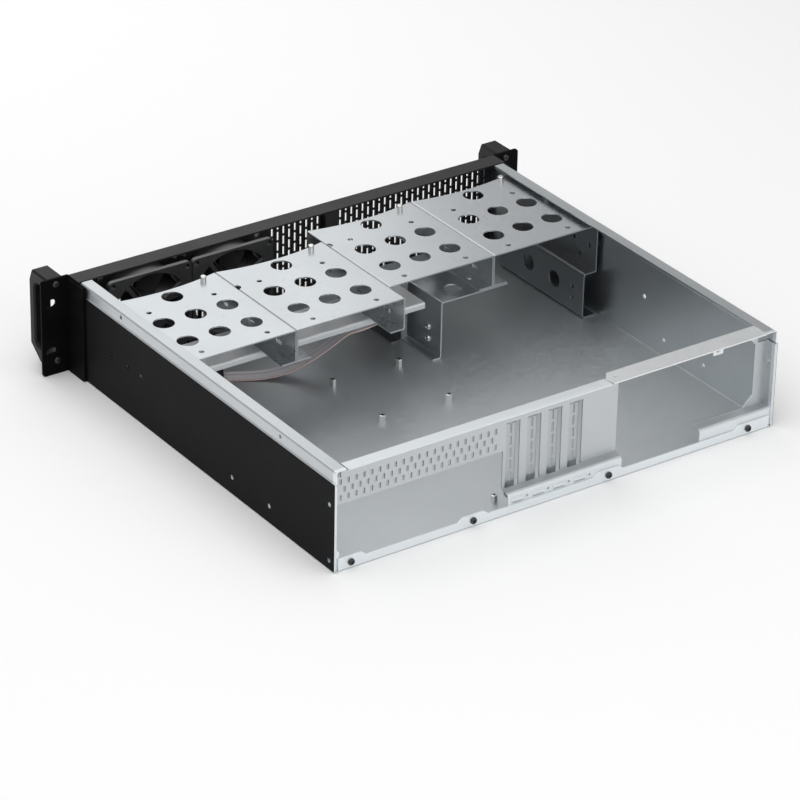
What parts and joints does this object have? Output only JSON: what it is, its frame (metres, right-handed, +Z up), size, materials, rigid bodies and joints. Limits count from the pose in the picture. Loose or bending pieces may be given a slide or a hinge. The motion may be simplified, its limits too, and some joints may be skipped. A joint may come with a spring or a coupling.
{
  "type": "empty rackmount server case",
  "caption": "Low open-top rackmount case: black front with handles, bare zinc inside, drive brackets, fans and a cut-out rear panel.",
  "frame": {"origin": "middle of the base, under the centre of the bounding box", "axes": "+Z up from the floor, front panel and handles face -Y, +X to the input-output side"},
  "size_m": [0.4826, 0.4238, 0.0881],
  "materials": {
    "tray_sheet": "zinc-coated inside, black paint outside",
    "zinc_sheet": "zinc-coated, satin",
    "black_paint": "fine-textured black powder coat",
    "handle_black": "satin black",
    "fan_plastic": "matt moulded",
    "rotor_plastic": "semi-gloss moulded",
    "bright_steel": "bright nickel plate",
    "dark_screw": "black oxide",
    "module_plastic": "matt black",
    "button_plastic": "semi-gloss black",
    "lens": "frosted clear",
    "cable_vinyl": "grey vinyl with thin coloured lines"
  },
  "bodies": {
    "case": {"bracket_rivets": "bright_steel", "centre_screws": "bright_steel", "centre_support": "zinc_sheet", "chassis_tray": "tray_sheet", "control_module": "module_plastic", "cover_rest_studs": "bright_steel", "cross_rail": "zinc_sheet", "drive_bracket_1": "zinc_sheet", "drive_bracket_2": "zinc_sheet", "drive_bracket_3": "zinc_sheet", "drive_bracket_4": "zinc_sheet", "fan_frame_1": "fan_plastic", "fan_frame_2": "fan_plastic", "fan_screws": "bright_steel", "front_panel": "black_paint", "handle_left": "handle_black", "handle_right": "handle_black", "handle_screws": "dark_screw", "lamp_lenses": "lens", "mainboard_standoffs": "bright_steel", "rack_ear_left": "black_paint", "rack_ear_right": "black_paint", "rail_post": "zinc_sheet", "rear_panel": "zinc_sheet", "rear_screws": "dark_screw", "rear_top_rail": "zinc_sheet", "ribbon_cable_front": "cable_vinyl", "ribbon_cable_rear": "cable_vinyl", "ribbon_plug_front": "module_plastic", "ribbon_plug_rear": "module_plastic", "slot_cover_1": "zinc_sheet", "slot_cover_2": "zinc_sheet", "slot_cover_3": "zinc_sheet", "slot_cover_4": "zinc_sheet", "wall_support_left": "zinc_sheet", "wall_support_right": "zinc_sheet"},
    "fan_rotor_1": {"fan_rotor_1": "rotor_plastic"},
    "fan_rotor_2": {"fan_rotor_2": "rotor_plastic"},
    "power_button": {"power_button": "button_plastic"},
    "reset_button": {"reset_button": "button_plastic"}
  },
  "joints": [
    {"name": "fan_spin_1", "type": "hinge", "parent": "case", "child": "fan_rotor_1", "pos_m": [0.1518, -0.1687, 0.04405], "axis": [0, 1, 0], "continuous": true},
    {"name": "fan_spin_2", "type": "hinge", "parent": "case", "child": "fan_rotor_2", "pos_m": [0.0709, -0.1687, 0.04405], "axis": [0, 1, 0], "continuous": true},
    {"name": "power_press", "type": "slide", "parent": "case", "child": "power_button", "axis": [0, 1, 0], "range_m": [0, 0.0015], "stiffness_N_per_m": 300, "springref_m": -0.001},
    {"name": "reset_press", "type": "slide", "parent": "case", "child": "reset_button", "axis": [0, 1, 0], "range_m": [0, 0.0015], "stiffness_N_per_m": 300, "springref_m": -0.001}
  ]
}
